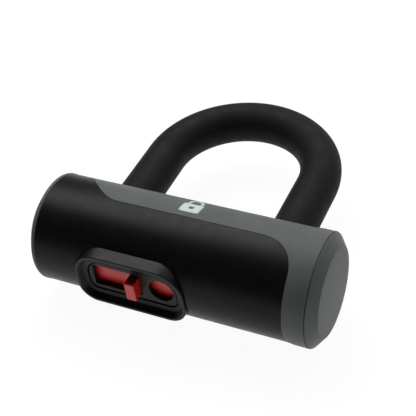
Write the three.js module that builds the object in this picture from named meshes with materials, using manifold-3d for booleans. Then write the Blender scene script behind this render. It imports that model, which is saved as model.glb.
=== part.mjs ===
// A short shackle lock for brake discs and chains: a hardened U-shaped shackle whose two feet
// plug into a round crossbar, where a key-driven pinion pushes a dead bolt into each foot.
// Millimetres. The crossbar runs along X, the shackle points along +Y and the key goes in along +Y.
import * as THREE from "three";
import { mergeVertices } from "three/addons/utils/BufferGeometryUtils.js";
import Module from "manifold-3d";

const wasm = await Module();
wasm.setup();

// ---------------------------------------------------------------- driving dimensions
const jacket = { radius: 24, wall: 2.5, halfLength: 61.8, flareRadius: 24.4, ribHeight: 4.7, ribWidth: 2.4 };
const jacketRibs = [-56, -20, 20, 56]; // x of the rings that seat both jackets on the steel tube
const seam = { left: -52.5, noseEnd: -30, noseRear: 18, right: 52.5, rightCorner: 15.5, gap: 0.3 };
const cap = { rim: 24.2, face: 19.2, length: 3.9, skirtWall: 2.4 };
const tube = { outer: 16.5, inner: 12.5, halfLength: 57.5 };
const shackle = { spacing: 75.5, straight: 57.5, rod: 8, sleeve: 9.5, foot: -8.5, sleeveStart: 17 };
const collar = { x: -15.3, halfLength: 25.5, halfHeight: 13.7, corner: 12.4, lowerCorner: 8.5, front: 24.8, foot: 15, draft: 0.145 };
const recess = { // how far in from the collar's edge at the ends and the long sides, and how deep
  mouth: { ends: 1.25, sides: 1.25 },
  ledge: { ends: 2.5, sides: 3.15, depth: 22.2 },
  well: { ends: 4.4, sides: 5.45, depth: 19.2 },
};
const plate = { front: 21.8, back: 19.3 };
const key = { x: -1.5, holeRadius: 5.75 }; // key axis, parallel to Y
const slot = { left: -33.6, right: -10.7, halfHeight: 5.9, corner: 1.3 };
const slider = { left: -35.2, right: 5.6, halfHeight: 6.5, front: 19.1, back: 17.35 };
const tab = { left: -15.9, width: 4.6, halfHeight: 4.8, front: 26.75 };
const gear = { teeth: 10, module: 0.8, pressure: THREE.MathUtils.degToRad(25), backlash: 0.12 };
const bolt = { y: 2, width: 6, halfHeight: 7, travel: 6.3, arm: 9.5, shoulder: 11, nose: 1.5, play: 1.3 };
const cylinder = { outer: 8, bore: 6.1, front: 16.2, back: 2.4 };
const disc = { count: 6, radius: 4.2, thickness: 1, pitch: 1.3, first: -12.7 };
const slide = 0.3; // running gap between pieces that touch or move

const legX = shackle.spacing / 2;
const boltTip = legX - shackle.rod - 0.5; // the bolts end just short of the legs when drawn back
const notchFloor = boltTip + bolt.travel + 0.6;

// ---------------------------------------------------------------- materials
const material = (color, roughness, metalness = 0) =>
  new THREE.MeshStandardMaterial({ color, roughness, metalness });
const greyPlastic = () => material(0x62676a, 0.55);
const blackPlastic = () => material(0x161718, 0.42);
const trimPlastic = () => material(0x1f2021, 0.38);
const redPlastic = () => material(0xc01414, 0.35);
const rubber = () => material(0x1b1c1b, 0.75);
const steel = () => material(0xb4b7ba, 0.35, 1);
const zinc = () => material(0x9a9c9e, 0.5, 1);
const brass = () => material(0xb99a55, 0.35, 1);

// ---------------------------------------------------------------- making solids
function solid(geometry) {
  const bare = geometry.clone();
  bare.deleteAttribute("normal");
  bare.deleteAttribute("uv");
  const merged = mergeVertices(bare, 1e-4);
  return new wasm.Manifold(
    new wasm.Mesh({
      numProp: 3,
      vertProperties: merged.attributes.position.array,
      triVerts: new Uint32Array(merged.index.array),
    }),
  );
}

function geometryOf(made) {
  const mesh = made.getMesh();
  const geometry = new THREE.BufferGeometry();
  geometry.setAttribute("position", new THREE.BufferAttribute(mesh.vertProperties, 3));
  geometry.setIndex(new THREE.BufferAttribute(mesh.triVerts, 1));
  geometry.computeVertexNormals();
  return geometry;
}

// Revolves [radius, height] pairs about Y. The profile closes on itself or ends on the axis.
function turned(profile, sides = 32) {
  const points = profile.map(([radius, height]) => new THREE.Vector2(radius, height));
  if (THREE.ShapeUtils.isClockWise(points)) points.reverse();
  if (points[0].x > 0) points.push(points[0].clone());
  return new THREE.LatheGeometry(points, sides);
}

// The same profile about X, with its heights along +X.
const turnedAlongX = (profile, sides) => turned(profile, sides).rotateZ(-Math.PI / 2);

// A round bar along Y, from y = low to y = high.
function bar(radius, low, high, sides = 32) {
  return turned([[0, low], [radius, low], [radius, high], [0, high]], sides);
}

// A flat ring along Y.
function ring(inner, outer, low, high, sides = 32) {
  return turned([[inner, low], [outer, low], [outer, high], [inner, high]], sides);
}

// Extrudes a shape drawn in X and Z along Y, from y = low to y = high.
function extrudedAlongY(shape, low, high) {
  const geometry = new THREE.ExtrudeGeometry(shape, { depth: high - low, bevelEnabled: false, curveSegments: 8 });
  return geometry.rotateX(Math.PI / 2).translate(0, high, 0);
}

const block = (x, y, z) => new THREE.BoxGeometry(x[1] - x[0], y[1] - y[0], z[1] - z[0])
  .translate((x[0] + x[1]) / 2, (y[0] + y[1]) / 2, (z[0] + z[1]) / 2);

// A rectangle with round corners, centred on (x, 0).
function roundedRectangle(x, halfLength, halfHeight, radius, lower = radius) {
  const outline = new THREE.Shape();
  const corner = (side, r, height, start) =>
    outline.absarc(x + side * (halfLength - r), height, r, start, start + Math.PI / 2);
  corner(1, radius, halfHeight - radius, 0);
  corner(-1, radius, halfHeight - radius, Math.PI / 2);
  corner(-1, lower, lower - halfHeight, Math.PI);
  corner(1, lower, lower - halfHeight, 1.5 * Math.PI);
  outline.closePath();
  return outline;
}

// Joins outlines of equal point counts, each at its own height along -Y, into one closed solid.
function lofted(levels) {
  const rings = levels.map(({ depth, outline }) =>
    outline.extractPoints(6).shape.map((p) => new THREE.Vector3(p.x, -depth, p.y)));
  const count = rings[0].length;
  const faces = THREE.ShapeUtils.triangulateShape(rings[0].map((p) => new THREE.Vector2(p.x, p.z)), []);
  const top = (rings.length - 1) * count;
  const index = faces.flatMap(([a, b, c]) => [a, c, b, top + a, top + b, top + c]);
  for (let level = 0; level + 1 < rings.length; level++) {
    for (let i = 0; i < count; i++) {
      const [a, b] = [level * count + i, level * count + ((i + 1) % count)];
      index.push(a, b, b + count, a, b + count, a + count);
    }
  }
  const geometry = new THREE.BufferGeometry().setFromPoints(rings.flat());
  return geometry.setIndex(index);
}

// ---------------------------------------------------------------- jackets
// A distance round the jacket from its top line, positive towards the shackle, gives this y from above.
const seenFromAbove = (round) => jacket.radius * Math.sin(round / jacket.radius);

// The rear jacket's area seen from above: the shackle side, with a long nose at the left end
// and a full band at the right end.
function rearJacketArea(grow) {
  const far = 40;
  const steps = 8;
  const area = new THREE.Shape();
  area.moveTo(seam.left - grow, far);
  area.lineTo(seam.left - grow, seam.noseRear);
  const bend = [seam.noseEnd - 8.5 - grow * 0.7, 0.5 - grow * 0.7];
  area.quadraticCurveTo(bend[0], bend[1], seam.noseEnd, -grow);
  for (let i = 0; i <= steps; i++) {
    const turn = (i / steps) * (Math.PI / 2);
    const radius = seam.rightCorner - grow;
    area.lineTo(
      seam.right - seam.rightCorner + radius * Math.sin(turn),
      seenFromAbove(radius * Math.cos(turn) - seam.rightCorner),
    );
  }
  area.lineTo(seam.right - grow, -far);
  area.lineTo(far * 2, -far);
  area.lineTo(far * 2, far);
  area.closePath();
  const height = 60;
  return solid(new THREE.ExtrudeGeometry(area, { depth: height, bevelEnabled: false }).translate(0, 0, -height / 2));
}

// The full round jacket before it is split, with rings inside that sit on the tube.
function wholeJacket() {
  const inner = jacket.radius - jacket.wall;
  const end = jacket.halfLength;
  const profile = [
    [jacket.radius - 0.4, -end],
    [jacket.radius, -end + 0.4],
    [jacket.radius, seam.right],
    [jacket.radius + 0.35, seam.right + 4],
    [jacket.flareRadius, end - 2],
    [jacket.flareRadius - 0.3, end],
    [inner, end],
  ];
  for (const x of [...jacketRibs].reverse()) {
    profile.push(
      [inner, x + jacket.ribWidth / 2],
      [inner - jacket.ribHeight, x + jacket.ribWidth / 2],
      [inner - jacket.ribHeight, x - jacket.ribWidth / 2],
      [inner, x - jacket.ribWidth / 2],
    );
  }
  profile.push([inner, -end]);
  return solid(turnedAlongX(profile, 48));
}

function rearJacket() {
  let made = wholeJacket().intersect(rearJacketArea(0));
  const holeRadius = shackle.sleeve + 1.7;
  for (const x of [-legX, legX]) made = made.subtract(solid(bar(holeRadius, 5, 30, 32).translate(x, 0, 0)));
  return geometryOf(made);
}

function frontJacket() {
  return geometryOf(wholeJacket().subtract(rearJacketArea(seam.gap)).subtract(solid(collarBlock(slide))));
}

// Chamfered end cap with a flat face. Its skirt plugs into the jackets. Points along +X.
function endCap() {
  const start = jacket.halfLength + slide;
  const skirt = jacket.radius - jacket.wall - slide;
  const face = start + cap.length;
  return turnedAlongX([
    [skirt - cap.skirtWall, tube.halfLength + slide],
    [skirt, tube.halfLength + slide],
    [skirt, start],
    [cap.rim, start],
    [cap.rim, start + 0.3],
    [cap.face + 0.5, face - 0.3],
    [cap.face, face],
    [0, face],
    [0, start + 1.2],
    [skirt - cap.skirtWall, start + 1.2],
  ], 48);
}

// ---------------------------------------------------------------- crossbar
function crossbarTube() {
  let made = solid(turnedAlongX([
    [tube.inner, -tube.halfLength],
    [tube.outer, -tube.halfLength],
    [tube.outer, tube.halfLength],
    [tube.inner, tube.halfLength],
  ], 36));
  for (const x of [-legX, legX]) made = made.subtract(solid(bar(shackle.rod + slide, 5, 20).translate(x, 0, 0)));
  made = made.subtract(solid(bar(cylinder.outer + slide, -20, -5).translate(key.x, 0, 0)));
  for (const x of [-plugPin.x, plugPin.x]) made = made.subtract(plugPinHole(x));
  return geometryOf(made.subtract(blockPinHole()));
}

const plugPin = { x: 52, radius: 2 };
const plugPinHole = (x) =>
  solid(bar(plugPin.radius + slide, -20, 20, 16).rotateX(Math.PI / 2).translate(x, 0, 0));

function endPlug(x) {
  const [low, high] = [47.5, tube.halfLength];
  const radius = tube.inner - slide;
  const disk = turnedAlongX([[0, low], [radius - 1, low], [radius, low + 1], [radius, high], [0, high]], 40);
  return geometryOf(solid(x < 0 ? disk.rotateZ(Math.PI) : disk).subtract(plugPinHole(x)));
}

const plugPinBody = () => bar(plugPin.radius, -tube.outer + slide, tube.outer - slide, 16).rotateX(Math.PI / 2);

// ---------------------------------------------------------------- lock block, bolts and pinion
const blockHalfLength = boltTip - 2.5;
const boltTop = bolt.y + bolt.width / 2;
const blockPin = { x: 18, radius: 1.5, tail: boltTop + 2 * slide };
const blockPinHole = () => solid(bar(blockPin.radius + slide, boltTop, 18, 16).translate(blockPin.x, 0, 0));

// The cast block fills the tube between the legs. The bolts run through it and the cylinder drops in from the front.
function lockBlock() {
  const radius = tube.inner - slide;
  const channel = block(
    [-40, 40],
    [bolt.y - bolt.width / 2 - slide, bolt.y + bolt.width / 2 + slide],
    [-bolt.halfHeight - slide, bolt.halfHeight + slide],
  );
  return geometryOf(
    solid(turnedAlongX([
      [0, -blockHalfLength],
      [radius, -blockHalfLength],
      [radius, blockHalfLength],
      [0, blockHalfLength],
    ], 40))
      .subtract(solid(channel))
      .subtract(solid(bar(cylinder.outer + slide, -20, 0).translate(key.x, 0, 0)))
      .subtract(solid(bar(pinion.spigot + slide, 0, pinion.spigotEnd + slide, 16).translate(key.x, 0, 0)))
      .subtract(blockPinHole()),
  );
}

const pitchRadius = (gear.teeth * gear.module) / 2;
const pinion = { tip: pitchRadius + 0.7, root: pitchRadius - 0.85, spigot: 2, spigotEnd: 8.6 };
const rack = { addendum: 0.6, dedendum: 0.95, pitch: Math.PI * gear.module };

// Involute pinion, teeth at the top and bottom at rest. Its spigot turns in the block.
function keyPinion() {
  const base = pitchRadius * Math.cos(gear.pressure);
  const involute = (radius) => {
    const roll = Math.sqrt((radius / base) ** 2 - 1);
    return roll - Math.atan(roll);
  };
  const halfTooth = Math.PI / (2 * gear.teeth) - gear.backlash / (2 * pitchRadius);
  const halfAngleAt = (radius) => halfTooth + involute(pitchRadius) - involute(radius);
  const radii = [base, (base + pitchRadius) / 2, pitchRadius, (pitchRadius + pinion.tip) / 2, pinion.tip];
  const flank = radii.map((radius) => [radius, halfAngleAt(radius)]);
  flank.unshift([pinion.root, halfAngleAt(base)]);
  const points = [];
  for (let tooth = 0; tooth < gear.teeth; tooth++) {
    const middle = Math.PI / 2 + (tooth * 2 * Math.PI) / gear.teeth;
    for (const [radius, half] of flank) points.push(polar(radius, middle - half));
    for (const [radius, half] of [...flank].reverse()) points.push(polar(radius, middle + half));
  }
  const [low, high] = [bolt.y - bolt.width / 2 + 0.5, bolt.y + bolt.width / 2];
  return geometryOf(
    solid(extrudedAlongY(new THREE.Shape(points), low, high))
      .add(solid(bar(pinion.spigot, high - 1, pinion.spigotEnd, 16))),
  );
}

const polar = (radius, angle) => new THREE.Vector2(radius * Math.cos(angle), radius * Math.sin(angle));

// A dead bolt with its rack above the pinion, drawn from the key axis. reach is the tip's distance from that axis.
function deadBolt(reach) {
  const { addendum, dedendum, pitch } = rack;
  const slope = Math.tan(gear.pressure);
  const half = pitch / 4 - gear.backlash / 2;
  const rootZ = pitchRadius + dedendum;
  const tipZ = pitchRadius - addendum;
  const top = bolt.halfHeight;
  const points = [[-bolt.arm, top], [-bolt.arm, rootZ]];
  for (let tooth = -3.5; tooth <= 1.5; tooth++) {
    const middle = tooth * pitch;
    points.push(
      [middle - half - dedendum * slope, rootZ],
      [middle - half + addendum * slope, tipZ],
      [middle + half - addendum * slope, tipZ],
      [middle + half + dedendum * slope, rootZ],
    );
  }
  points.push(
    [bolt.shoulder, rootZ],
    [bolt.shoulder, -top],
    [reach - bolt.nose, -top],
    [reach, -top + bolt.nose],
    [reach, top - bolt.nose],
    [reach - bolt.nose, top],
  );
  const shape = new THREE.Shape(points.map(([x, z]) => new THREE.Vector2(x, z)));
  return extrudedAlongY(shape, bolt.y - bolt.width / 2, bolt.y + bolt.width / 2);
}

const blockPinBody = () => bar(blockPin.radius, blockPin.tail, tube.outer - slide, 16);

// ---------------------------------------------------------------- key cylinder, drawn on its own axis
// Housing with a front lip, bored for the core.
const lipDepth = 1.2;
const housing = () => turned([
  [cylinder.bore, -cylinder.back],
  [cylinder.outer, -cylinder.back],
  [cylinder.outer, -cylinder.front],
  [cylinder.bore - 1, -cylinder.front],
  [cylinder.bore - 1, -cylinder.front + lipDepth],
  [cylinder.bore, -cylinder.front + lipDepth],
], 40);

// The half-round key slot through every disc.
function keySlot() {
  const radius = 2.4;
  const outline = new THREE.Path();
  outline.absarc(0, 0, radius, 0.15 * Math.PI, 1.35 * Math.PI);
  outline.closePath();
  return outline;
}

// A disc with the key slot and one gate in its edge for the sidebar.
function slottedDisc(radius, low, thickness) {
  const gate = 0.2;
  const shape = new THREE.Shape();
  shape.absarc(0, 0, radius, Math.PI / 2 + gate, Math.PI / 2 - gate + 2 * Math.PI);
  shape.lineTo(radius * Math.sin(gate), radius * 0.8);
  shape.lineTo(-radius * Math.sin(gate), radius * 0.8);
  shape.closePath();
  shape.holes.push(keySlot());
  const geometry = new THREE.ExtrudeGeometry(shape, { depth: thickness, bevelEnabled: false, curveSegments: 10 });
  return geometry.rotateX(Math.PI / 2).translate(0, low + thickness, 0);
}

// The drum that holds the discs: open at the front, slotted for the sidebar, closed at the back.
function coreDrum() {
  const outer = cylinder.bore - slide;
  const [front, floor, back] = [-13.3, disc.first + disc.count * disc.pitch + 0.3, -cylinder.back - 0.8];
  const cup = turned([
    [0, back],
    [outer, back],
    [outer, front],
    [disc.radius + slide, front],
    [disc.radius + slide, floor],
    [0, floor],
  ], 36);
  return geometryOf(
    solid(cup)
      .subtract(solid(block([-0.9, 0.9], [front - 1, floor + 0.2], [disc.radius - 0.5, outer + 1])))
      .add(solid(bar(2.6, back - 0.5, bolt.y - bolt.width / 2 + 0.2, 16))),
  );
}

const sidebar = () => block([-0.6, 0.6], [-13, disc.first + disc.count * disc.pitch], [disc.radius - 0.3, cylinder.bore - slide - 0.2]);

// An open spring ring in the housing's rear mouth.
function circlip() {
  const opening = 0.5;
  const shape = new THREE.Shape();
  shape.absarc(0, 0, cylinder.bore - 0.15, opening, 2 * Math.PI - opening);
  shape.absarc(0, 0, cylinder.bore - 1.2, 2 * Math.PI - opening, opening, true);
  shape.closePath();
  return extrudedAlongY(shape, -cylinder.back - 0.6, -cylinder.back);
}

// ---------------------------------------------------------------- keyhole collar, plate and dust slider
const collarOutline = (grow) => roundedRectangle(
  collar.x, collar.halfLength + grow, collar.halfHeight + grow, collar.corner + grow, collar.lowerCorner + grow);

// The drafted outside of the collar, down to its seat on the tube.
function collarBlock(grow) {
  const atDepth = (depth) => grow + (collar.front - 0.8 - depth) * collar.draft;
  return lofted([
    { depth: collar.foot - grow, outline: collarOutline(atDepth(collar.foot)) },
    { depth: collar.front - 0.8, outline: collarOutline(grow) },
    { depth: collar.front - 0.25, outline: collarOutline(grow - 0.2) },
    { depth: collar.front + grow, outline: collarOutline(grow - 0.6) },
  ]);
}

// The recess at one level, drawn in by different amounts at the ends and the long sides.
function recessOutline({ ends, sides }, grow = 0) {
  const halfHeight = collar.halfHeight - sides + grow;
  const corner = Math.min(collar.corner - ends + grow, halfHeight - 0.05);
  const lower = collar.lowerCorner - ends + grow;
  return roundedRectangle(collar.x, collar.halfLength - ends + grow, halfHeight, corner, lower);
}

function keyholeCollar() {
  const { mouth, ledge, well } = recess;
  const open = collar.front + 1;
  const funnel = lofted([
    { depth: ledge.depth, outline: recessOutline(ledge) },
    { depth: collar.front, outline: recessOutline(mouth) },
    { depth: open, outline: recessOutline(mouth) },
  ]);
  const shaft = lofted([
    { depth: well.depth, outline: recessOutline(well) },
    { depth: open, outline: recessOutline(well) },
  ]);
  const sliderWay = block(
    [-60, slider.right + slide],
    [-plate.back - 0.1, -slider.back + 2],
    [-slider.halfHeight - slide, slider.halfHeight + slide],
  );
  return geometryOf(
    solid(collarBlock(0))
      .subtract(solid(funnel))
      .subtract(solid(shaft))
      .subtract(solid(sliderWay))
      .subtract(solid(bar(cylinder.outer + slide, -plate.back, -5).translate(key.x, 0, 0)))
      .subtract(solid(bar(tube.outer + slide, -60, 60, 36).rotateZ(-Math.PI / 2))),
  );
}

// The fixed plate on the floor of the recess, with the slider's slot and the keyhole through it.
function keyPlate() {
  const slotShape = roundedRectangle(
    (slot.left + slot.right) / 2, (slot.right - slot.left) / 2, slot.halfHeight, slot.corner);
  return geometryOf(
    solid(lofted([
      { depth: plate.back, outline: recessOutline(recess.well, -slide) },
      { depth: plate.front - 0.3, outline: recessOutline(recess.well, -slide) },
      { depth: plate.front, outline: recessOutline(recess.well, -slide - 0.3) },
    ]))
      .subtract(solid(extrudedAlongY(slotShape, -30, -10)))
      .subtract(solid(bar(key.holeRadius, -30, -10).translate(key.x, 0, 0))),
  );
}

// The red dust cover: a flat blade behind the plate with a finger tab through the slot.
function dustSlider() {
  const blade = roundedRectangle(
    (slider.left + slider.right) / 2, (slider.right - slider.left) / 2, slider.halfHeight, 2.2);
  const tabOutline = (grow) => roundedRectangle(
    tab.left + tab.width / 2, tab.width / 2 + grow, tab.halfHeight + grow, 0.7 + grow);
  return geometryOf(
    solid(extrudedAlongY(blade, -slider.front, -slider.back)).add(solid(lofted([
      { depth: slider.front - 0.5, outline: tabOutline(0) },
      { depth: tab.front - 0.3, outline: tabOutline(0) },
      { depth: tab.front, outline: tabOutline(-0.3) },
    ]))),
  );
}

// ---------------------------------------------------------------- shackle
// Up one leg, round the half-circle bow and down the other. Each straight leg is a single step.
class ShacklePath extends THREE.Curve {
  constructor(start, bowSteps) {
    super();
    this.start = start;
    this.bowSteps = bowSteps;
  }
  getPoint(t, target = new THREE.Vector3()) {
    const step = t * (this.bowSteps + 2) - 1;
    const turn = THREE.MathUtils.clamp(step / this.bowSteps, 0, 1) * Math.PI;
    const down = step < 0 ? -step : Math.max(step - this.bowSteps, 0);
    const y = shackle.straight + legX * Math.sin(turn) - down * (shackle.straight - this.start);
    return target.set(-legX * Math.cos(turn), y, 0);
  }
  getTangent(t, target = new THREE.Vector3()) {
    const step = t * (this.bowSteps + 2) - 1;
    const turn = THREE.MathUtils.clamp(step / this.bowSteps, 0, 1) * Math.PI;
    return target.set(Math.sin(turn), Math.cos(turn), 0);
  }
  getPointAt(u, target) {
    return this.getPoint(u, target);
  }
  getSpacedPoints(divisions) {
    return Array.from({ length: divisions + 1 }, (_, i) => this.getPoint(i / divisions));
  }
  getTangentAt(u, target) {
    return this.getTangent(u, target);
  }
}

function bentBar(shape, start, bowSteps, sides) {
  const path = new ShacklePath(start, bowSteps);
  return new THREE.ExtrudeGeometry(shape, {
    steps: bowSteps + 2, curveSegments: sides, extrudePath: path, bevelEnabled: false,
  });
}

function circle(radius, Kind = THREE.Shape) {
  const outline = new Kind();
  outline.absarc(0, 0, radius, 0, 2 * Math.PI);
  return outline;
}

// The hardened bar: a chamfered foot on each leg, with a notch on the inside for the bolt.
function shackleRod() {
  const foot = shackle.foot;
  const chamfer = turned([
    [shackle.rod - 1.5, foot - 1],
    [shackle.rod + 1, foot - 1],
    [shackle.rod + 1, foot + 2.5],
    [shackle.rod - 1.5, foot],
  ]);
  const notch = [bolt.y - bolt.width / 2 - bolt.play, bolt.y + bolt.width / 2 + bolt.play];
  let made = solid(bentBar(circle(shackle.rod), foot, 24, 10));
  for (const side of [-1, 1]) {
    const inner = [side * 20, side * notchFloor].sort((a, b) => a - b);
    made = made
      .subtract(solid(chamfer.clone().translate(side * legX, 0, 0)))
      .subtract(solid(block(inner, notch, [-10, 10])));
  }
  return geometryOf(made);
}

// The thick vinyl sleeve over everything outside the crossbar.
function shackleSleeve() {
  const section = circle(shackle.sleeve);
  section.holes.push(circle(shackle.rod + slide, THREE.Path));
  return bentBar(section, shackle.sleeveStart, 24, 11);
}

// A rubber ring round each leg, its mouth following the round jacket.
function legSeal(x) {
  const [inner, outer] = [shackle.sleeve + slide, shackle.sleeve + 1.4];
  const proud = jacket.radius + 0.3;
  return geometryOf(
    solid(ring(inner, outer, tube.outer + slide, 30, 32).translate(x, 0, 0))
      .intersect(solid(turnedAlongX([[0, -60], [proud, -60], [proud, 60], [0, 60]], 48))),
  );
}

// ---------------------------------------------------------------- assembly
const lock = new THREE.Group();

function place(name, geometry, look, parent = lock) {
  const mesh = new THREE.Mesh(geometry, look);
  mesh.name = name;
  parent.add(mesh);
  return mesh;
}

place("rear_jacket", rearJacket(), greyPlastic());
place("front_jacket", frontJacket(), blackPlastic());
place("end_cap_right", endCap(), greyPlastic());
place("end_cap_left", endCap(), greyPlastic()).rotation.z = Math.PI;

place("crossbar_tube", crossbarTube(), steel());
for (const [side, x] of [["right", plugPin.x], ["left", -plugPin.x]]) {
  place(`end_plug_${side}`, endPlug(x), steel());
  place(`plug_pin_${side}`, plugPinBody(), steel()).position.x = x;
}
place("lock_block", lockBlock(), zinc());
place("block_pin", blockPinBody(), steel()).position.x = blockPin.x;

const keyAxis = new THREE.Group();
keyAxis.position.x = key.x;
lock.add(keyAxis);
place("bolt_right", deadBolt(boltTip - key.x), steel(), keyAxis);
place("bolt_left", deadBolt(boltTip + key.x), steel(), keyAxis).rotation.y = Math.PI;
place("key_pinion", keyPinion(), steel(), keyAxis);
place("cylinder_housing", housing(), brass(), keyAxis);
place("cylinder_core", coreDrum(), brass(), keyAxis);
place("drill_guard_disc", slottedDisc(cylinder.bore - slide, -cylinder.front + lipDepth + slide, 1.2), steel(), keyAxis);
for (let i = 0; i < disc.count; i++) {
  place(`detainer_disc_${i + 1}`, slottedDisc(disc.radius, disc.first + i * disc.pitch, disc.thickness), brass(), keyAxis);
}
place("sidebar", sidebar(), steel(), keyAxis);
place("circlip", circlip(), steel(), keyAxis);

place("keyhole_collar", keyholeCollar(), trimPlastic());
place("key_plate", keyPlate(), trimPlastic());
place("dust_slider", dustSlider(), redPlastic());

place("shackle_rod", shackleRod(), steel());
place("shackle_sleeve", shackleSleeve(), rubber());
place("leg_seal_left", legSeal(-legX), rubber());
place("leg_seal_right", legSeal(legX), rubber());

// The lock lies flat. Its origin is under the middle of its outline, at the height of what it lies on.
const bowEnd = shackle.straight + legX + shackle.sleeve;
lock.position.set(0, (tab.front - bowEnd) / 2, jacket.flareRadius);

const part = new THREE.Group();
part.add(lock);
export default part;
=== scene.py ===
import math

import bmesh
import bpy
import numpy as np
from mathutils import Matrix, Vector


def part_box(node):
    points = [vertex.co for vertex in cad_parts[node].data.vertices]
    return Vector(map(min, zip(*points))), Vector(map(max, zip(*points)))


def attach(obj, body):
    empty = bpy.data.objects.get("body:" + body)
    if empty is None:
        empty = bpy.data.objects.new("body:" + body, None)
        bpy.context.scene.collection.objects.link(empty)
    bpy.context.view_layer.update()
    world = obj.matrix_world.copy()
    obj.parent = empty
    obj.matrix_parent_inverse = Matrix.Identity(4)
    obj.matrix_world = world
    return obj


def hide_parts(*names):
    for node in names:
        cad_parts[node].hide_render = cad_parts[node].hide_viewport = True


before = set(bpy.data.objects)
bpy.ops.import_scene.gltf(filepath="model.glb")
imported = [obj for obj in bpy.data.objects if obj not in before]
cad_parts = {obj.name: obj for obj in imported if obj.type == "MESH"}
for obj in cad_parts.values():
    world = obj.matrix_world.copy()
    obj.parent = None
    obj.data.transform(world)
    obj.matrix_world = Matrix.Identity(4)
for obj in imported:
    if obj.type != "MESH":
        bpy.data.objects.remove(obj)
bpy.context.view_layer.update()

# ------------------------------------------------------------------ hardened crossbar
# The strength of the lock is a steel tube that runs inside the plastic skin, drilled for the
# shackle's feet, with a steel plug pinned into each end. Turned, ground and left bare.

low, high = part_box("crossbar_tube")
bar_axis = (Vector(low) + Vector(high)) / 2


def to_frame(points):
    """Points in millimetres about the crossbar's centre, as metres in the frame:
    divide by 1000 and add the centre."""
    return np.asarray(points, float) * 0.001 + np.array(bar_axis)


def finish_material(name, colour, roughness, metallic=0.0, specular=0.5):
    """A Principled material with its even values set on the shader itself.
    Returns the material, its node tree and the shader."""
    material = bpy.data.materials.new(name)
    material.use_nodes = True
    tree = material.node_tree
    shader = tree.nodes["Principled BSDF"]
    shader.inputs["Base Color"].default_value = (*colour, 1)
    shader.inputs["Roughness"].default_value = roughness
    shader.inputs["Metallic"].default_value = metallic
    shader.inputs["Specular IOR Level"].default_value = specular
    return material, tree, shader


def noise_on(tree, scale, detail=3.0, stretch=(1, 1, 1)):
    """Noise in object space, with this many features to the metre, squeezed along each axis by stretch."""
    place = tree.nodes.new("ShaderNodeTexCoord")
    mapping = tree.nodes.new("ShaderNodeMapping")
    mapping.inputs["Scale"].default_value = stretch
    noise = tree.nodes.new("ShaderNodeTexNoise")
    noise.inputs["Scale"].default_value = scale
    noise.inputs["Detail"].default_value = detail
    tree.links.new(place.outputs["Object"], mapping.inputs["Vector"])
    tree.links.new(mapping.outputs["Vector"], noise.inputs["Vector"])
    return noise.outputs["Fac"]


def vary(tree, fac, socket, low_value, high_value):
    """Spreads a noise between two values of a shader socket."""
    spread = tree.nodes.new("ShaderNodeMapRange")
    spread.inputs["From Min"].default_value = 0.3
    spread.inputs["From Max"].default_value = 0.7
    spread.inputs["To Min"].default_value = low_value
    spread.inputs["To Max"].default_value = high_value
    tree.links.new(fac, spread.inputs["Value"])
    tree.links.new(spread.outputs["Result"], socket)


def tint(tree, fac, shader, dark, light):
    """Moves the base colour between two shades with a noise."""
    ramp = tree.nodes.new("ShaderNodeValToRGB")
    ramp.color_ramp.elements[0].position = 0.32
    ramp.color_ramp.elements[0].color = (*dark, 1)
    ramp.color_ramp.elements[1].position = 0.68
    ramp.color_ramp.elements[1].color = (*light, 1)
    tree.links.new(fac, ramp.inputs["Fac"])
    tree.links.new(ramp.outputs["Color"], shader.inputs["Base Color"])


def roughen(tree, fac, shader, depth, strength=1.0):
    """Raises the surface by a noise, depth metres from its lows to its highs."""
    bump = tree.nodes.new("ShaderNodeBump")
    bump.inputs["Strength"].default_value = strength
    bump.inputs["Distance"].default_value = depth
    tree.links.new(fac, bump.inputs["Height"])
    tree.links.new(bump.outputs["Normal"], shader.inputs["Normal"])


def bare_metal(name, dark, light, roughness, stretch, scale=900.0):
    """Machined metal: tool marks run across the stretched axis, with a cloudy change in shine."""
    material, tree, shader = finish_material(name, light, roughness, metallic=1.0)
    marks = noise_on(tree, scale, 4.0, stretch)
    tint(tree, marks, shader, dark, light)
    vary(tree, noise_on(tree, 140.0), shader.inputs["Roughness"], roughness - 0.07, roughness + 0.09)
    roughen(tree, marks, shader, 0.00003, 0.5)
    return material


ground_steel = bare_metal("ground_steel", (0.36, 0.37, 0.385), (0.56, 0.565, 0.58), 0.3, (0.06, 1, 1))


def stand_in(piece, body, slot_name, material, *nodes):
    """Gives a piece its material and the body it moves with, and hides the CAD nodes it stands for.
    slot_name is not used.
    """
    piece.data.materials.clear()
    piece.data.materials.append(material)
    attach(piece, body)
    if nodes:
        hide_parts(*nodes)
    return piece


def finish_nodes(material, *nodes):
    """Gives CAD nodes that stay as they are a material."""
    for node in nodes:
        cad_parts[node].data.materials.clear()
        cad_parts[node].data.materials.append(material)


facet_turn = math.radians(32)  # facets of a round side meet at less than this, real corners at more


def smoothed(node, name, body, slot_name, material, edge=0.0002):
    """A copy of a CAD node with its loose triangles joined, round sides shaded smooth
    and sharp corners given a small rounded edge, in metres."""
    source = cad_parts[node]
    made = bmesh.new()
    made.from_mesh(source.data)
    bmesh.ops.remove_doubles(made, verts=made.verts, dist=1e-6)
    bmesh.ops.dissolve_limit(made, angle_limit=math.radians(0.5), verts=made.verts, edges=made.edges)
    for line in made.edges:
        line.smooth = len(line.link_faces) == 2 and line.calc_face_angle(0) < facet_turn
    for face in made.faces:
        face.smooth = True
    mesh = bpy.data.meshes.new(name)
    made.to_mesh(mesh)
    made.free()
    piece = bpy.data.objects.new(name, mesh)
    bpy.context.scene.collection.objects.link(piece)
    if edge:
        rounding = piece.modifiers.new("edge", "BEVEL")
        rounding.width = edge
        rounding.segments = 2
        rounding.limit_method = "ANGLE"
        rounding.angle_limit = facet_turn
        rounding.harden_normals = True
    return stand_in(piece, body, slot_name, material, node)


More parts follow.
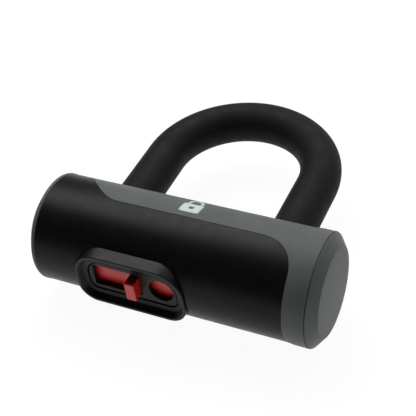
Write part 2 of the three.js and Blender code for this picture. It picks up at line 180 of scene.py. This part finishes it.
smoothed("crossbar_tube", "hardened_tube", "crossbar", "steel", ground_steel, edge=0)
finish_nodes(ground_steel, "end_plug_left", "end_plug_right", "plug_pin_left", "plug_pin_right")

# ------------------------------------------------------------------ lock block, bolts and pinion
# A zinc casting fills the tube between the legs. Two steel dead bolts slide through it, each with
# a rack, and one hardened pinion between the racks drives both outwards at once.

cast_zinc, cast_tree, cast_shader = finish_material("cast_zinc", (0.42, 0.43, 0.44), 0.52, metallic=1.0)
cast_skin = noise_on(cast_tree, 700.0, 5.0)
tint(cast_tree, cast_skin, cast_shader, (0.3, 0.305, 0.31), (0.46, 0.465, 0.475))
roughen(cast_tree, cast_skin, cast_shader, 0.00008, 0.6)

bolt_steel = bare_metal("bolt_steel", (0.42, 0.42, 0.43), (0.62, 0.62, 0.63), 0.24, (0.08, 1, 1), 700.0)

smoothed("lock_block", "cast_lock_block", "crossbar", "zinc", cast_zinc, edge=0)
smoothed("bolt_right", "dead_bolt_right", "right_bolt", "steel", bolt_steel)
smoothed("bolt_left", "dead_bolt_left", "left_bolt", "steel", bolt_steel)
finish_nodes(bolt_steel, "key_pinion", "circlip")
finish_nodes(ground_steel, "block_pin")

# ------------------------------------------------------------------ key cylinder
# A disc cylinder: brass housing and drum, stamped brass discs with the key slot through them,
# a steel sidebar, and a hardened steel disc in front of them against drilling.

turned_brass = bare_metal("turned_brass", (0.42, 0.29, 0.11), (0.68, 0.5, 0.22), 0.28, (1, 0.08, 1))
finish_nodes(turned_brass, "cylinder_housing", "cylinder_core", *(f"detainer_disc_{i}" for i in range(1, 7)))
smoothed("drill_guard_disc", "drill_guard", "key_core", "steel", bolt_steel, edge=0.00015)
finish_nodes(bolt_steel, "sidebar")

# ------------------------------------------------------------------ jackets
# Two moulded skins close round the tube: a black one on the key side, with the whole ring at the
# left end, and a grey one on the shackle side, with the whole ring at the right end. They meet
# along a seam that runs down the top and bottom lines and sweeps round at both ends.

jacket_radius = 24.0
jacket_wall = 2.5
jacket_end = 61.85
flare = 0.38  # how far the grey ring stands proud of the black skin
flare_run = 4.5  # the length in which it swells to that
seam_ring = 52.5  # the seam runs round the bar here, on the right
seam_nose = -52.5  # and here on the left
nose_start = -30.0  # the seam leaves the top line here
nose_rear = 18.0  # and ends this far behind it
nose_bend = (-38.5, 0.5)  # the control point of the curve between the two
corner_radius = 15.5
seam_gap = 0.11


def nose_turn(x):
    """Angle of the seam behind the top line on the nose: the height of a quadratic curve from the
    nose's start by its bend to its rear end, seen from above, turned into an angle on the jacket."""
    share = np.linspace(0, 1, 400)
    along = (1 - share) ** 2 * nose_start + 2 * share * (1 - share) * nose_bend[0] + share**2 * seam_nose
    behind = 2 * share * (1 - share) * nose_bend[1] + share**2 * nose_rear
    return np.arcsin(np.interp(-x, -along, behind) / jacket_radius)


def corner_turn(x):
    """Angle of the seam in front of the top line on the right: a quarter circle on the unrolled skin."""
    run = np.clip(x - (seam_ring - corner_radius), 0, corner_radius)
    return (np.sqrt(corner_radius**2 - run**2) - corner_radius) / jacket_radius


def seam_turn(x):
    """Angle of the seam from the top line at x, positive towards the shackle."""
    return np.where(x < nose_start, nose_turn(x), corner_turn(x))


def skin_radius(x, ring_proud):
    """Radius of the skin at x: level, then a quarter of a sine wave up to the proud ring on the right."""
    swell = np.clip((x - seam_ring) / flare_run, 0, 1)
    return jacket_radius + ring_proud * np.sin(swell * np.pi / 2)


def ring_of(block):
    """The border of a block of a grid, in order round it, as flat positions of rows and columns."""
    return np.concatenate([block[0, :-1], block[:-1, -1], block[-1, :0:-1], block[:0:-1, 0]])


def solid_piece(name, points, faces, wall=None, edge=0.22, sharp=35):
    """A mesh in the frame from points in millimetres. A sheet is given its wall inwards, and corners
    that turn by more than sharp degrees a small round of edge millimetres."""
    mesh = bpy.data.meshes.new(name)
    mesh.from_pydata(to_frame(points).tolist(), [], [list(map(int, face)) for face in faces])
    shaped = bmesh.new()
    shaped.from_mesh(mesh)
    bmesh.ops.remove_doubles(shaped, verts=shaped.verts, dist=1e-7)
    bmesh.ops.delete(shaped, geom=[v for v in shaped.verts if not v.link_faces], context="VERTS")
    limit = math.radians(sharp)
    for face in shaped.faces:
        face.smooth = True
    for line in shaped.edges:
        line.smooth = len(line.link_faces) != 2 or line.calc_face_angle(0) < limit
    shaped.to_mesh(mesh)
    shaped.free()
    piece = bpy.data.objects.new(name, mesh)
    bpy.context.scene.collection.objects.link(piece)
    if wall:
        thick = piece.modifiers.new("wall", "SOLIDIFY")
        thick.thickness = wall * 0.001
        thick.offset = -1
        thick.use_even_offset = True
    if edge:
        rounding = piece.modifiers.new("edge", "BEVEL")
        rounding.width = edge * 0.001
        rounding.segments = 3
        rounding.limit_method = "ANGLE"
        rounding.angle_limit = limit
        rounding.harden_normals = True
    return piece


rows = np.linspace(-1, 1, 65)  # shares of a skin's reach, from its lower edge to its upper one
patch_loops = 8


def moulded_skin(name, facing, columns, extra, ring_columns, half_turn, openings, ring_proud):
    """A skin as a grid of x by angle about its own middle line, which facing puts in front (-1) or
    behind (1). Row r at column x lies at the angle rows[r] * half_turn(x). Where the skin is a whole
    ring, extra rows close it round the other side. An opening (x, half_x, half_z, upper corners'
    radius, lower corners' radius, block of the grid) is a hole with round corners: the block's own
    border is drawn onto the hole's edge, with loops of faces between the two."""
    angle = np.outer(half_turn(columns), rows)
    closing = np.tile(extra, (len(columns), 1))
    angle = np.concatenate([angle, closing], axis=1)
    x = np.repeat(columns[:, None], angle.shape[1], axis=1)
    index = np.arange(x.size).reshape(x.shape)
    body_faces = np.ones((len(columns) - 1, angle.shape[1]), bool)
    whole = ring_columns[:-1] & ring_columns[1:]
    body_faces[:, len(rows) - 1:] = whole[:, None]

    flat_x, flat_turn = [x.ravel()], [angle.ravel()]
    loops = []
    total = x.size
    for centre_x, half_x, half_z, upper, lower, block in openings:
        (c0, c1), (r0, r1) = block
        body_faces[c0:c1, r0:r1] = False
        border = ring_of(index[c0:c1 + 1, r0:r1 + 1])
        border_x, border_turn = x.ravel()[border], angle.ravel()[border]
        border_z = jacket_radius * np.sin(border_turn)
        corner = np.where(border_z > 0, upper, lower)
        near_x = np.clip(border_x, centre_x - half_x + corner, centre_x + half_x - corner)
        near_z = np.clip(border_z, corner - half_z, half_z - corner)
        draw_in = corner / np.hypot(border_x - near_x, border_z - near_z)
        hole_x = near_x + (border_x - near_x) * draw_in
        hole_turn = np.arcsin((near_z + (border_z - near_z) * draw_in) / jacket_radius)
        previous = border
        for share in np.linspace(0, 1, patch_loops + 1)[1:]:
            flat_x.append(border_x + (hole_x - border_x) * share)
            flat_turn.append(border_turn + (hole_turn - border_turn) * share)
            here = total + np.arange(len(border))
            total += len(border)
            loops.append((previous, here))
            previous = here

    grid_x, turn = np.concatenate(flat_x), np.concatenate(flat_turn)
    radius = skin_radius(grid_x, ring_proud)
    points = np.stack([grid_x, facing * radius * np.cos(turn), radius * np.sin(turn)], axis=1)

    beyond = np.roll(index, -1, axis=1)
    quads = np.stack([index[:-1], index[1:], beyond[1:], beyond[:-1]], axis=-1)[body_faces]
    faces = [quads]
    for outer, inner in loops:
        faces.append(np.stack([inner, np.roll(inner, -1), np.roll(outer, -1), outer], axis=1))
    faces = np.concatenate(faces)
    if facing > 0:
        faces = faces[:, ::-1]
    return solid_piece(name, points, faces, wall=jacket_wall)


def moulded_plastic(name, dark, light, roughness, grain_depth, grain_scale=2600.0, specular=0.5):
    """Eroded mould finish: a fine even grain, and a slow cloudy change in shade and shine."""
    material, tree, shader = finish_material(name, light, roughness, specular=specular)
    tint(tree, noise_on(tree, 90.0, 2.0), shader, dark, light)
    vary(tree, noise_on(tree, 260.0), shader.inputs["Roughness"], roughness - 0.03, roughness + 0.04)
    roughen(tree, noise_on(tree, grain_scale, 2.0), shader, grain_depth, 0.35)
    return material


black_skin = moulded_plastic(
    "black_skin", (0.0046, 0.0049, 0.0048), (0.0058, 0.0062, 0.006), 0.38, 0.00005, specular=0.13
)
grey_skin = moulded_plastic(
    "grey_skin", (0.106, 0.116, 0.112), (0.118, 0.128, 0.124), 0.5, 0.00004, specular=0.1
)

quarter = np.pi / 2


def steps(*stops):
    """Positions from stop to stop, each stretch given as (end, number of steps)."""
    line = [np.array([stops[0]])]
    for end, count in stops[1:]:
        line.append(np.linspace(line[-1][-1], end, count + 1)[1:])
    return np.concatenate(line)


# The columns run through the whole ring, the nose, the stretch that holds the collar, and on to the corner.
ring_steps, nose_steps, collar_steps = 8, 14, 48
ring_turn = float(quarter + np.arcsin(nose_rear / jacket_radius))
front_end = -60.95  # the black skin stops here, and the left cap has a broader rim
front_columns = steps(
    front_end, (seam_nose - seam_gap, ring_steps), (-45.0, nose_steps), (15.0, collar_steps), (37.0, 16)
)
corner_columns = (seam_ring - corner_radius) + corner_radius * np.sin(np.linspace(0, quarter, 25)[1:])
front_columns = np.concatenate([front_columns, corner_columns])
front_ring = np.arange(len(front_columns)) <= ring_steps


def front_half_turn(x):
    """The black skin's reach either side of its middle line, short of the seam by half the gap."""
    reach = quarter + seam_turn(np.clip(x, seam_nose, seam_ring)) - seam_gap / jacket_radius
    return np.where(x < seam_nose, ring_turn, reach)


# The collar stands in the black skin, so the skin is open round it. The collar grows by its draft
# towards its foot, and the opening fits it where its long sides meet the skin, plus a hair.
collar = {"x": -15.3, "half_length": 25.5, "half_height": 13.7, "corner": 12.4, "lower": 8.5, "front": 24.8}
collar_draft = 0.145  # growth per millimetre of depth
collar_brow = collar["front"] - 0.8  # the draft starts at this distance from the bar's axis
collar_sink = 20.5  # the skin's distance where it meets the collar's long sides
collar_grow = (collar_brow - collar_sink) * collar_draft + 0.12
collar_columns = (ring_steps + nose_steps, ring_steps + nose_steps + collar_steps)
collar_rows = (13, 51)
front_opening = (
    collar["x"],
    collar["half_length"] + collar_grow,
    collar["half_height"] + collar_grow,
    collar["corner"] + collar_grow,
    collar["lower"] + collar_grow,
    (collar_columns, collar_rows),
)
closing_rows = 20
around_back = np.linspace(ring_turn, 2 * np.pi - ring_turn, closing_rows + 2)[1:-1]
front_skin = moulded_skin(
    "front_skin", -1, front_columns, around_back, front_ring, front_half_turn, [front_opening], 0.0
)
stand_in(front_skin, "crossbar", "cover_black", black_skin, "front_jacket")

leg_x = 37.75
leg_hole = 11.2
left_patch = (-51.0, -24.5)  # the stretch of skin that is drawn in to each leg's hole
right_patch = (24.5, 50.5)
rear_columns = steps(
    seam_nose + seam_gap, (left_patch[0], 3), (left_patch[1], 26), (right_patch[0], 34), (37.0, 12)
)
rear_corner = (seam_ring - corner_radius) + corner_radius * np.sin(np.linspace(0, quarter, 19)[1:])
rear_ring_columns = steps(seam_ring, (57.5, 8), (jacket_end, 4))[1:]
rear_columns = np.concatenate([rear_columns, rear_corner, rear_ring_columns])
rear_ring = rear_columns >= seam_ring - 1e-6
rear_turn = quarter + corner_radius / jacket_radius


def rear_half_turn(x):
    """The grey skin's reach either side of its middle line, short of the seam by half the gap."""
    reach = quarter - seam_turn(np.clip(x, seam_nose, seam_ring)) - seam_gap / jacket_radius
    return np.where(x >= seam_ring - 1e-6, rear_turn, reach)


def leg_opening(x, patch):
    """A round hole for a leg, in the grid's columns nearest the patch's ends and its 40 middle rows."""
    first, last = (int(np.argmin(abs(rear_columns - end))) for end in patch)
    return (x, leg_hole, leg_hole, leg_hole, leg_hole, ((first, last), (12, 52)))


leg_openings = [leg_opening(-leg_x, left_patch), leg_opening(leg_x, right_patch)]
around_front = np.linspace(rear_turn, 2 * np.pi - rear_turn, closing_rows + 2)[1:-1]
rear_skin = moulded_skin(
    "rear_skin", 1, rear_columns, around_front, rear_ring, rear_half_turn, leg_openings, flare
)
stand_in(rear_skin, "crossbar", "cover_grey", grey_skin, "rear_jacket")

# ------------------------------------------------------------------ end caps
# A grey moulded disc with a broad chamfer closes each end. Its thin skirt is pushed into the jackets.
# The left one has a broader rim, since the black skin stops a little short.

cap_top = 66.0  # the face's distance from the middle of the bar
cap_face = 19.2
cap_rim = 24.15
cap_skirt = 21.2
skirt_wall = 2.4
skirt_end = 58.2
cap_floor = 1.2  # the skirt's bottom lies this far in front of the rim's start
right_rim = (62.0, 62.35)
left_rim = (61.1, 62.6)


def turned_about_bar(name, profile, side, around=144):
    """A profile of (radius, x) pairs turned about the crossbar's axis, from the axis and back to it.
    side is 1 or -1 for the end it faces. Half a turn about the shackle's line takes one to the other."""
    radius, along = np.array(profile, float).T
    turn = np.arange(around) * 2 * np.pi / around
    points = np.stack(
        [
            np.repeat(side * along[:, None], around, axis=1),
            np.outer(radius, np.cos(turn)),
            side * np.outer(radius, np.sin(turn)),
        ],
        axis=-1,
    )
    index = np.arange(points.shape[0] * around).reshape(points.shape[0], around)
    beyond = np.roll(index, -1, axis=1)
    quads = np.stack([index[:-1], beyond[:-1], beyond[1:], index[1:]], axis=-1).reshape(-1, 4)
    return solid_piece(name, points.reshape(-1, 3), list(quads), edge=None)


def rounded_profile(corners, radius, pieces=4):
    """A line of corners with each inner corner swept by a small quadratic curve, which starts and stops
    radius away from the corner, or at 0.45 of a shorter side."""
    corners = [np.array(c, float) for c in corners]
    line = [corners[0]]
    for before, corner, after in zip(corners, corners[1:], corners[2:]):
        cut_in = min(radius, np.linalg.norm(before - corner) * 0.45)
        cut_out = min(radius, np.linalg.norm(after - corner) * 0.45)
        start = corner + (before - corner) / np.linalg.norm(before - corner) * cut_in
        stop = corner + (after - corner) / np.linalg.norm(after - corner) * cut_out
        for share in np.linspace(0, 1, pieces):
            line.append((1 - share) ** 2 * start + 2 * share * (1 - share) * corner + share**2 * stop)
    line.append(corners[-1])
    return line


def cap_corners(rim_start, rim_end):
    """The cap's section from the axis round its skirt and rim to the middle of its face."""
    return [
        (0, rim_start + cap_floor),
        (cap_skirt - skirt_wall, rim_start + cap_floor),
        (cap_skirt - skirt_wall, skirt_end),
        (cap_skirt, skirt_end),
        (cap_skirt, rim_start),
        (cap_rim, rim_start),
        (cap_rim, rim_end),
        (cap_face, cap_top),
        (0, cap_top),
    ]


for side, node, rim in ((1, "end_cap_right", right_rim), (-1, "end_cap_left", left_rim)):
    cap_piece = turned_about_bar(f"moulded_{node}", rounded_profile(cap_corners(*rim), 0.35), side)
    stand_in(cap_piece, "crossbar", "cover_grey", grey_skin, node)

# ------------------------------------------------------------------ keyhole collar and plate
# A black boss glued into the front skin guards the keyhole. Inside its rim the recess steps down to
# a plate with a long slot for the dust cover's tab and a round hole for the key.

trim_black = moulded_plastic(
    "trim_black", (0.0045, 0.0048, 0.0048), (0.006, 0.0063, 0.0063), 0.42, 0.00003, specular=0.2
)
plate_black = moulded_plastic(
    "plate_black", (0.0075, 0.0078, 0.0078), (0.0095, 0.0098, 0.0098), 0.46, 0.00005, specular=0.22
)


def rounded_outline(centre_x, half_length, half_height, upper, lower, per_corner=14, per_side=6):
    """Points in x and z round a rectangle with round corners, of radius upper at its top and lower at its
    bottom, starting at the right end: four quarter circles with points on the sides between them."""
    line = []
    corners = ((1, 1, upper), (-1, 1, upper), (-1, -1, lower), (1, -1, lower))
    for start, (sign_x, sign_z, radius) in enumerate(corners):
        turn = (start + np.linspace(0, 1, per_corner)) * quarter
        hub = np.array([centre_x + sign_x * (half_length - radius), sign_z * (half_height - radius)])
        arc = hub + radius * np.stack([np.cos(turn), np.sin(turn)], axis=1)
        if line:
            share = np.linspace(0, 1, per_side + 1)[1:-1, None]
            line.append(line[-1][-1] * (1 - share) + arc[0] * share)
        line.append(arc)
    share = np.linspace(0, 1, per_side + 1)[1:-1, None]
    line.append(line[-1][-1] * (1 - share) + line[0][0] * share)
    return np.concatenate(line)


collar_foot = 16.9  # distances from the bar's axis, like the collar's front
blade_way = 19.4
ledge = 22.2
blade_reach = (8, 12)  # heights: the wall clears the blade below the first, and is full above the second


def collar_line(ends, sides):
    """The collar's rim outline drawn in by this much at its ends and along its sides."""
    half_length = collar["half_length"] - ends
    half_height = collar["half_height"] - sides
    upper = min(collar["corner"] - ends, half_height - 0.02)
    return rounded_outline(collar["x"], half_length, half_height, upper, collar["lower"] - ends)


def collar_section():
    """The wall of the collar from its foot, up the drafted flank, over the rim and down the steps,
    as (drawn in at the ends, drawn in at the sides, depth) with every corner rounded."""
    flank = [((depth - collar_brow) * collar_draft, depth) for depth in (collar_foot, blade_way)]
    corners = [(grow, grow, depth) for grow, depth in flank] + [
        (0, 0, collar["front"]),
        (1.25, 1.25, collar["front"]),
        (2.5, 3.15, ledge),
        (4.4, 5.45, ledge),
        (4.4, 5.45, blade_way),
        (3.4, 4.4, blade_way),
    ]
    return rounded_profile(corners, 0.4, 5)


def collar_wall():
    """The collar as its outline at each step of its section, in a ring of rings. The depth at a point is
    the section's, but no less than a foot that ends at the blade's way where the blade passes under
    it, and slopes down to its full depth above and below."""
    loops = []
    for ends, sides, depth in collar_section():
        line = collar_line(ends, sides)
        foot = np.interp(np.abs(line[:, 1]), blade_reach, (blade_way, collar_foot))
        loops.append(np.stack([line[:, 0], -np.maximum(depth, foot), line[:, 1]], axis=1))
    points = np.array(loops)
    index = np.arange(points.shape[0] * points.shape[1]).reshape(points.shape[:2])
    following = np.roll(index, -1, axis=0)
    quads = np.stack([index, np.roll(index, -1, axis=1), np.roll(following, -1, axis=1), following], axis=-1)
    return solid_piece("collar_rim", points.reshape(-1, 3), list(quads.reshape(-1, 4)), edge=None)


stand_in(collar_wall(), "crossbar", "trim_black", trim_black, "keyhole_collar")

smoothed("key_plate", "keyhole_plate", "crossbar", "trim_black", plate_black, edge=0.00022)

# ------------------------------------------------------------------ dust cover
# A red moulded blade runs in a way behind the plate. Its finger tab comes up through the slot,
# and pushing it left uncovers the keyhole.

red_plastic, red_tree, red_shader = finish_material("red_plastic", (0.62, 0.012, 0.01), 0.34)
tint(red_tree, noise_on(red_tree, 120.0, 2.0), red_shader, (0.5, 0.008, 0.008), (0.62, 0.013, 0.011))
vary(red_tree, noise_on(red_tree, 320.0), red_shader.inputs["Roughness"], 0.32, 0.4)
roughen(red_tree, noise_on(red_tree, 1800.0, 2.0), red_shader, 0.00003, 0.25)
smoothed("dust_slider", "dust_cover_blade", "dust_cover", "slider_red", red_plastic, edge=0.0003)

# ------------------------------------------------------------------ leg seals
# A soft moulded ring pressed into the grey skin keeps rain off each leg of the shackle. Its lip follows
# the round skin.

soft_seal = moulded_plastic("soft_seal", (0.008, 0.008, 0.008), (0.011, 0.011, 0.011), 0.6, 0.00004)

# The seal's section, as distance from the leg's axis and height over the skin.
lip_inside = [(9.62, -4.2), (9.62, -0.5), (9.75, 0.12), (10.1, 0.3)]
lip_outside = [(10.6, 0.3), (11.0, 0.05), (11.1, -0.4), (11.1, -4.2)]


def leg_seal(name, x, around=96):
    """A ring round a leg. Its section is a small lip, and each point's distance behind the bar's axis is
    the skin's own there, the root of (radius squared less z squared), plus the section's height."""
    section = np.array(lip_inside + lip_outside)
    turn = np.arange(around) * 2 * np.pi / around
    radius = np.repeat(section[:, 0][:, None], around, axis=1)
    across = radius * np.sin(turn)
    behind = np.sqrt(jacket_radius**2 - across**2) + section[:, 1][:, None]
    points = np.stack([x + radius * np.cos(turn), behind, across], axis=-1).reshape(-1, 3)
    index = np.arange(len(points)).reshape(len(section), around)
    following = np.roll(index, -1, axis=0)
    quads = np.stack([index, following, np.roll(following, -1, axis=1), np.roll(index, -1, axis=1)], axis=-1)
    return solid_piece(name, points, list(quads.reshape(-1, 4)[:, ::-1]), edge=None, sharp=60)


for side, x in (("left", -leg_x), ("right", leg_x)):
    stand_in(leg_seal(f"soft_leg_seal_{side}", x), "crossbar", "seal_rubber", soft_seal, f"leg_seal_{side}")

# ------------------------------------------------------------------ shackle
# A hardened bar bent to a U, with a notch ground in each foot for its bolt. A thick matt vinyl sleeve
# covers all of it that stands outside the crossbar, and ends a little way inside.

smoothed("shackle_rod", "shackle_bar", "shackle", "steel", ground_steel, edge=0.00025)

sleeve_radius = 9.5
sleeve_bore = 8.05
sleeve_start = 17.0
sleeve_round = 0.6  # radius of its rounded ends
leg_straight = 57.5

sleeve_black = (0.014, 0.0142, 0.0138)
matt_sleeve, sleeve_tree, sleeve_shader = finish_material("matt_sleeve", sleeve_black, 0.65, specular=0.08)
sleeve_cloud = noise_on(sleeve_tree, 60.0, 3.0)
tint(sleeve_tree, sleeve_cloud, sleeve_shader, (0.0115, 0.0118, 0.0114), (0.0155, 0.0158, 0.0153))
vary(sleeve_tree, noise_on(sleeve_tree, 180.0), sleeve_shader.inputs["Roughness"], 0.54, 0.66)
roughen(sleeve_tree, noise_on(sleeve_tree, 1500.0, 4.0), sleeve_shader, 0.00008, 0.4)


def shackle_line(start, per_leg=24, round_bow=96):
    """The shackle's centre line and its direction: up the left leg, round a half circle of half the
    leg spacing, and down the right leg."""
    turn = np.concatenate([np.zeros(per_leg), np.linspace(0, np.pi, round_bow + 1), np.full(per_leg, np.pi)])
    rise = np.linspace(start, leg_straight, per_leg + 1)[:-1]
    base = np.concatenate([rise, np.full(round_bow + 1, leg_straight), rise[::-1]])
    centre = np.stack([-leg_x * np.cos(turn), base + leg_x * np.sin(turn), np.zeros(len(turn))], axis=1)
    direction = np.stack([np.sin(turn), np.cos(turn), np.zeros(len(turn))], axis=1)
    return centre, direction


def vinyl_sleeve(around=64):
    """A round section carried along the shackle's line: each ring is the centre, plus its radius along
    the in-plane normal and Z. The radius swells in a quarter circle at each end, from a ring on the
    bar, and the lining runs back along the bar from the last ring to the first."""
    centre, direction = shackle_line(sleeve_start)
    lip = np.linspace(0, quarter, 6)
    lip_radius = np.append(sleeve_bore, sleeve_radius - sleeve_round * (1 - np.sin(lip)))
    lip_rise = np.append(sleeve_start, sleeve_start + sleeve_round * (1 - np.cos(lip)))
    left = np.stack([np.full(len(lip_rise), -leg_x), lip_rise, np.zeros(len(lip_rise))], axis=1)
    right = (left * np.array([-1, 1, 1]))[::-1]
    along = np.tile([0.0, 1, 0], (len(left), 1))
    radius = np.concatenate([lip_radius, np.full(len(centre) - 4, sleeve_radius), lip_radius[::-1]])
    centre = np.concatenate([left, centre[2:-2], right])
    direction = np.concatenate([along, direction[2:-2], -along])
    outward = np.stack([-direction[:, 1], direction[:, 0], direction[:, 2]], axis=1)
    turn = np.arange(around) * 2 * np.pi / around
    upward = np.array([0, 0, 1.0])
    ring = outward[:, None] * np.cos(turn)[:, None] + upward * np.sin(turn)[:, None]
    skin = centre[:, None, :] + radius[:, None, None] * ring
    lining = centre[::-1, None, :] + sleeve_bore * ring[::-1]
    points = np.concatenate([skin, lining[1:-1]]).reshape(-1, 3)
    index = np.arange(len(points)).reshape(-1, around)
    following = np.roll(index, -1, axis=0)
    quads = np.stack([index, np.roll(index, -1, axis=1), np.roll(following, -1, axis=1), following], axis=-1)
    return solid_piece("vinyl_sleeve", points, list(quads.reshape(-1, 4)), edge=None, sharp=60)


stand_in(vinyl_sleeve(), "shackle", "sleeve_rubber", matt_sleeve, "shackle_sleeve")

# ------------------------------------------------------------------ printed mark
# A small pale padlock sign is pad-printed on the grey skin behind the seam. The ink is a film that
# follows the skin's round.

print_ink, ink_tree, ink_shader = finish_material("print_ink", (0.6, 0.67, 0.64), 0.5)
tint(ink_tree, noise_on(ink_tree, 900.0, 3.0), ink_shader, (0.53, 0.6, 0.57), (0.62, 0.69, 0.66))

mark_x = 2.4
mark_turn = 22.0  # degrees behind the top line to the sign's middle
ink_height = 0.03
ink_wall = 0.02
body_half = (4.6, 3.6)
body_rise = -2.7  # the middle of the sign's body
bow_radius = 2.8
bow_half = 0.7  # half the bow's stroke
bow_rise = 1.05


def on_skin(across, up):
    """Flat sign coordinates wrapped on the grey skin: across along the bar, up round it."""
    turn = math.radians(mark_turn) + up / jacket_radius
    radius = jacket_radius + ink_height
    return np.stack([mark_x + across, radius * np.sin(turn), radius * np.cos(turn)], axis=-1)


def padlock_sign():
    """The sign is two patches of grid. The body lies between a small round keyhole and a round-cornered
    rectangle, joined by straight lines. The bow is a half ring with straight legs."""
    rim = rounded_outline(0, *body_half, 1.0, 1.0, per_corner=10, per_side=8)
    turn = np.arctan2(rim[:, 1], rim[:, 0])
    hole = 1.05 * np.stack([np.cos(turn), np.sin(turn)], axis=1)
    share = np.linspace(0, 1, 5)[:, None, None]
    body = hole[None] * (1 - share) + rim[None] * share
    body_points = on_skin(body[..., 0], body[..., 1] + body_rise)
    count = len(rim)
    index = np.arange(body_points.shape[0] * count).reshape(-1, count)
    beyond = np.roll(index, -1, axis=1)
    faces = np.stack([index[:-1], index[1:], beyond[1:], beyond[:-1]], axis=-1).reshape(-1, 4)

    sweep = np.linspace(0, np.pi, 25)
    half_ring = np.stack([np.cos(sweep), np.sin(sweep)], axis=1)
    line = np.concatenate([[[bow_radius, -0.2]], bow_radius * half_ring + [0, 1.7], [[-bow_radius, -0.2]]])
    away = np.concatenate([[[1.0, 0]], half_ring, [[-1.0, 0]]])
    bow = line[None] + away[None] * np.array([-bow_half, 0, bow_half])[:, None, None]
    bow_points = on_skin(bow[..., 0], bow[..., 1] + bow_rise)
    bow_count = bow_points.shape[0] * bow_points.shape[1]
    bow_index = index.size + np.arange(bow_count).reshape(bow_points.shape[:2])
    bow_faces = np.stack(
        [bow_index[:-1, :-1], bow_index[1:, :-1], bow_index[1:, 1:], bow_index[:-1, 1:]], axis=-1
    ).reshape(-1, 4)
    points = np.concatenate([body_points.reshape(-1, 3), bow_points.reshape(-1, 3)])
    outward = np.concatenate([faces, bow_faces])[:, ::-1]
    return solid_piece("padlock_sign", points, list(outward), wall=ink_wall, edge=None)


stand_in(padlock_sign(), "crossbar", "cover_grey", print_ink)

# ------------------------------------------------------------------ table
# The lock lies on a white table that glows evenly, so the lock leaves almost no shadow on it. The
# studio beyond it is dark.

table_top, table_tree, table_shader = finish_material("table_top", (0.08, 0.08, 0.08), 0.7, specular=0.0)
table_shader.inputs["Emission Color"].default_value = (1, 1, 1, 1)
table_shader.inputs["Emission Strength"].default_value = 0.95
tint(table_tree, noise_on(table_tree, 3.0, 2.0), table_shader, (0.075, 0.075, 0.075), (0.085, 0.085, 0.085))
half_table = 6.0
table_drop = -0.0002
table_signs = ((-1, -1), (1, -1), (1, 1), (-1, 1))
table_corners = [(x * half_table, y * half_table, table_drop) for x, y in table_signs]
table_mesh = bpy.data.meshes.new("table")
table_mesh.from_pydata(table_corners, [], [(0, 1, 2, 3)])
table_mesh.materials.append(table_top)
table = bpy.data.objects.new("table", table_mesh)
bpy.context.scene.collection.objects.link(table)

# ------------------------------------------------------------------ light
# One softbox hangs above to the left, and a wider one stands behind the shackle. The white table fills
# in from below.


def soft_panel(name, place, width, depth, watts):
    """A rectangular area light at place, in metres from the bar's centre, facing that centre."""
    lamp = bpy.data.lights.new(name, "AREA")
    lamp.shape = "RECTANGLE"
    lamp.size, lamp.size_y = width, depth
    lamp.energy = watts
    holder = bpy.data.objects.new(name, lamp)
    holder.location = Vector(place) + bar_axis
    holder.rotation_mode = "QUATERNION"
    holder.rotation_quaternion = (-Vector(place)).to_track_quat("-Z", "Y")
    bpy.context.scene.collection.objects.link(holder)


soft_panel("overhead_softbox", (-0.42, 0.42, 0.95), 1.0, 0.6, 9.5)
soft_panel("back_softbox", (0.2, 0.85, 0.8), 1.6, 0.9, 8.5)

studio = bpy.data.worlds.new("studio")
studio.use_nodes = True
background = studio.node_tree.nodes["Background"]
background.inputs["Color"].default_value = (0.9, 0.95, 1.0, 1)
background.inputs["Strength"].default_value = 0.02
bpy.context.scene.world = studio
bpy.context.scene.view_settings.view_transform = "Standard"

# ------------------------------------------------------------------ camera
# It stands 42 cm away, up to the front right of the crossbar, and leans a little, so that the crossbar
# falls away to the right.

distance = 0.42232
aside, above = 0.01212, 0.01899  # how far its line of sight passes the bar's centre
azimuth, elevation, lean = (math.radians(a) for a in (30.106, 42.034, -8.586))
back = Vector(
    (math.sin(azimuth) * math.cos(elevation), -math.cos(azimuth) * math.cos(elevation), math.sin(elevation))
)
right = Vector((math.cos(azimuth), math.sin(azimuth), 0))
up = back.cross(right)
leaned_right = right * math.cos(lean) + up * math.sin(lean)
leaned_up = up * math.cos(lean) - right * math.sin(lean)
stand = bar_axis + back * distance + right * aside + up * above
camera_data = bpy.data.cameras.new("camera")
camera_data.sensor_width = 36.0
camera_data.lens = 85.676
camera_data.clip_start, camera_data.clip_end = 0.02, 30
camera = bpy.data.objects.new("camera", camera_data)
turned = Matrix((leaned_right, leaned_up, back)).transposed().to_4x4()
camera.matrix_world = Matrix.Translation(stand) @ turned
bpy.context.scene.collection.objects.link(camera)
bpy.context.scene.camera = camera
